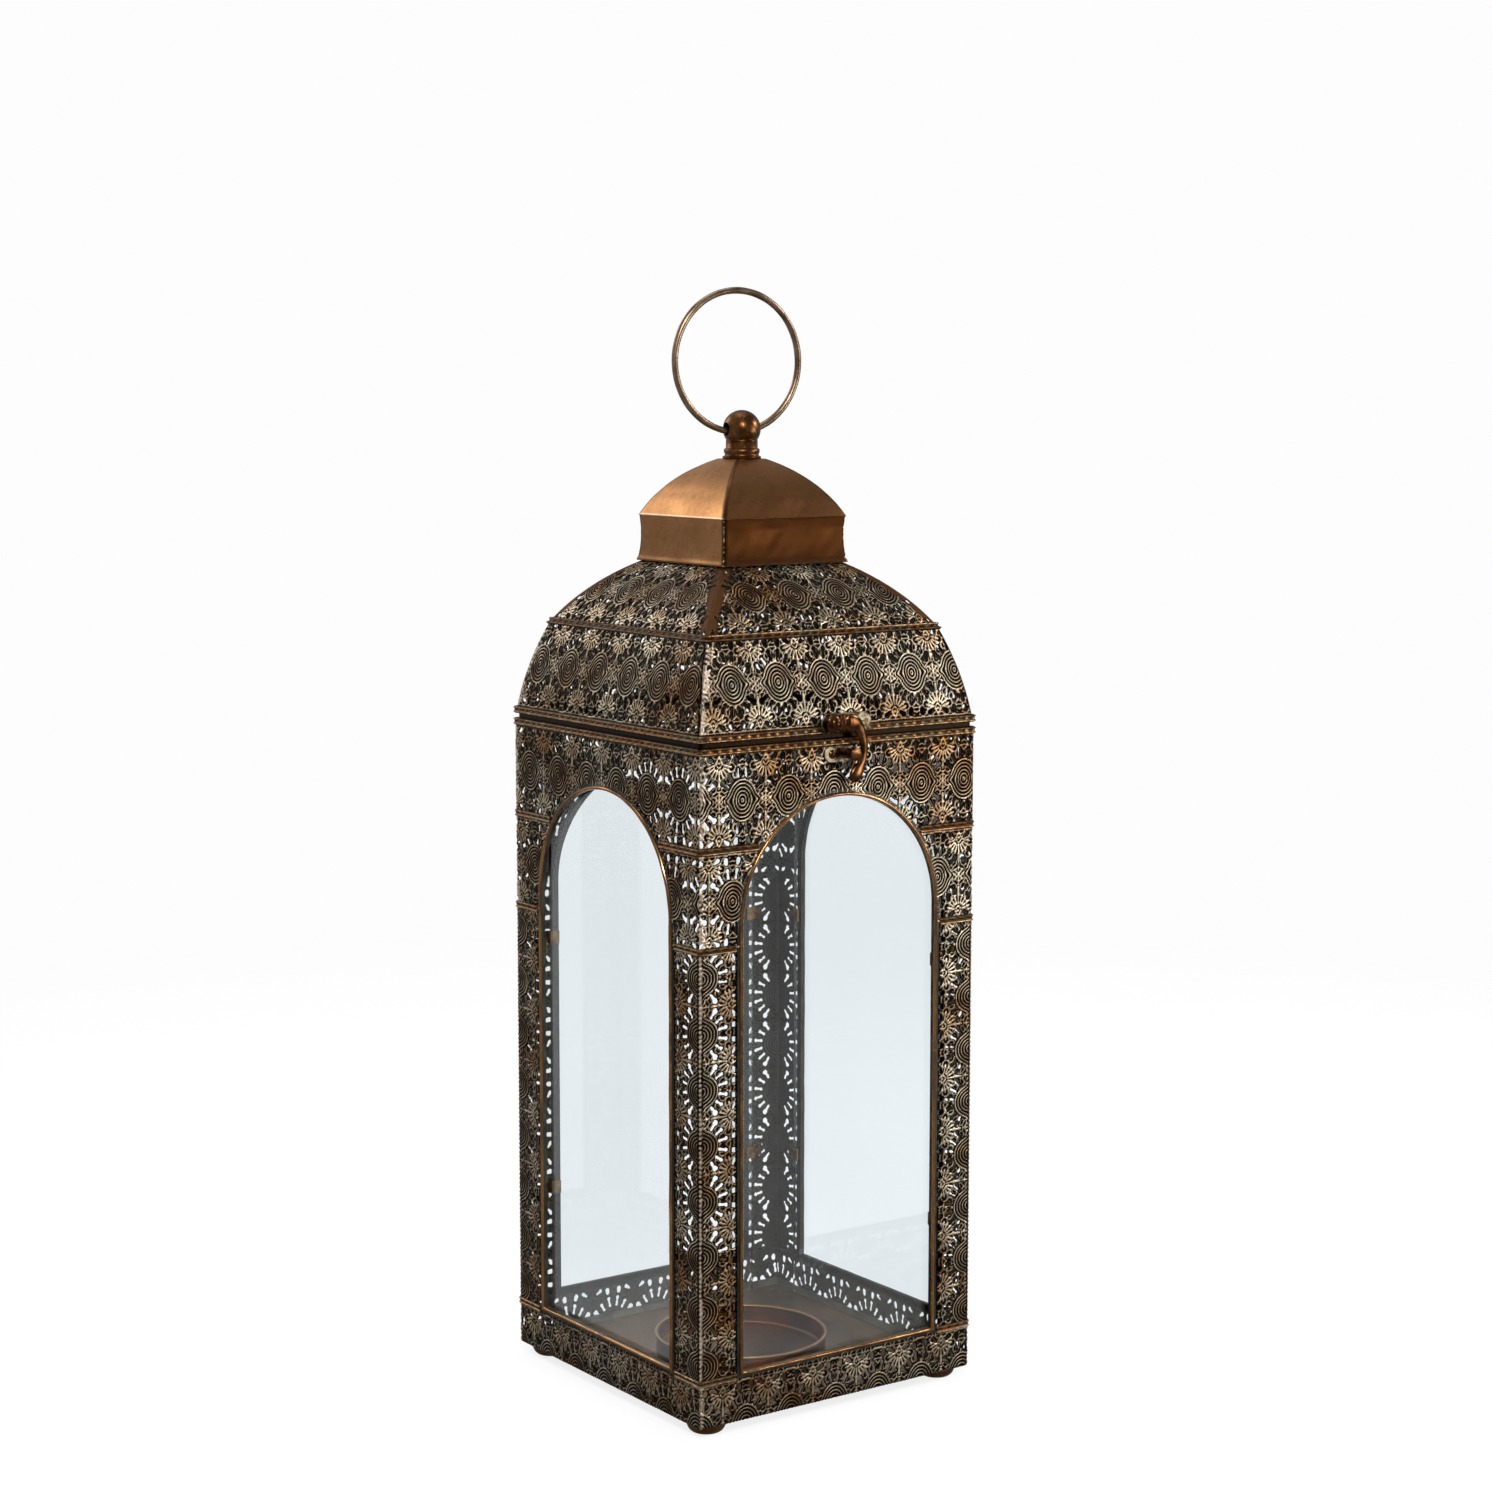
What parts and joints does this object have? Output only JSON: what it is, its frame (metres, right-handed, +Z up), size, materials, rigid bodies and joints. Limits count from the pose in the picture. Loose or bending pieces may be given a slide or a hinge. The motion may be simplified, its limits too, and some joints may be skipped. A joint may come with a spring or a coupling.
{
  "type": "candle lantern",
  "caption": "Square candle lantern with arched glazed windows, pierced metal ribbons, a tray for a pillar candle, a hinged domed lid held by a hook, and a hanging ring.",
  "frame": {"origin": "on the table, under the middle of the square body", "axes": "+Z up, the latch (front) side towards -Y, the hinges at +Y, +X to the right of the front"},
  "size_m": [0.1524, 0.1625, 0.4981],
  "materials": {
    "pierced_ribbon": "pierced and embossed sheet, darkened in the recesses and rubbed on the ridges",
    "cap_copper": "satin aged copper-coloured sheet",
    "trim_copper": "satin copper-coloured rolled bead",
    "strip_brass": "pressed strip, darkened and rubbed",
    "tray_copper": "satin aged copper-coloured sheet",
    "cast_brass": "cast, darkened and rubbed bright on the high spots",
    "ring_wire": "drawn wire, darkened",
    "fittings": "small stamped and turned fittings, darkened",
    "clear_glass": "clear flat panes"
  },
  "bodies": {
    "body": {"base_band": "pierced_ribbon", "base_strips": "strip_brass", "body_rim": "strip_brass", "candle_tray": "tray_copper", "catch_plate": "cast_brass", "catch_rivet": "fittings", "catch_stud": "cast_brass", "floor_plate": "tray_copper", "foot_back_left": "cast_brass", "foot_back_right": "cast_brass", "foot_front_left": "cast_brass", "foot_front_right": "cast_brass", "foot_rivets": "fittings", "glass_pane_back": "clear_glass", "glass_pane_front": "clear_glass", "glass_pane_left": "clear_glass", "glass_pane_right": "clear_glass", "glass_tabs": "fittings", "hinge_leaf_lower_left": "fittings", "hinge_leaf_lower_right": "fittings", "hinge_pins": "fittings", "hinge_rivets_lower": "fittings", "post_back_left": "pierced_ribbon", "post_back_right": "pierced_ribbon", "post_front_left": "pierced_ribbon", "post_front_right": "pierced_ribbon", "post_strips": "strip_brass", "spandrel_back_left": "pierced_ribbon", "spandrel_back_right": "pierced_ribbon", "spandrel_front_left": "pierced_ribbon", "spandrel_front_right": "pierced_ribbon", "spandrel_strips": "strip_brass", "upper_band": "pierced_ribbon", "window_trim_back": "trim_copper", "window_trim_front": "trim_copper", "window_trim_left": "trim_copper", "window_trim_right": "trim_copper"},
    "lid": {"cap_collar": "cap_copper", "cap_dome": "cap_copper", "dome_lower_back": "pierced_ribbon", "dome_lower_front": "pierced_ribbon", "dome_lower_left": "pierced_ribbon", "dome_lower_right": "pierced_ribbon", "dome_strip": "strip_brass", "dome_upper_back": "pierced_ribbon", "dome_upper_front": "pierced_ribbon", "dome_upper_left": "pierced_ribbon", "dome_upper_right": "pierced_ribbon", "finial": "cast_brass", "finial_nut": "cast_brass", "hinge_leaf_upper_left": "fittings", "hinge_leaf_upper_right": "fittings", "hinge_rivets_upper": "fittings", "latch_nail": "fittings", "latch_pivot": "cast_brass", "latch_plate": "cast_brass", "lid_rim": "strip_brass"},
    "latch_hook": {"latch_hook": "cast_brass"},
    "ring": {"ring": "ring_wire"}
  },
  "joints": [
    {"name": "lid_hinge", "type": "hinge", "parent": "body", "child": "lid", "pos_m": [0, 0.0782, 0.3033], "axis": [-1, 0, 0], "range_deg": [0, 180]},
    {"name": "latch_swing", "type": "hinge", "parent": "lid", "child": "latch_hook", "pos_m": [-0.0067, -0.0785, 0.3089], "axis": [0, -1, 0], "range_deg": [0, 180]},
    {"name": "ring_swing", "type": "hinge", "parent": "lid", "child": "ring", "pos_m": [0, 0, 0.43484], "axis": [0.9936, -0.1132, 0], "range_deg": [-130, 130]}
  ]
}
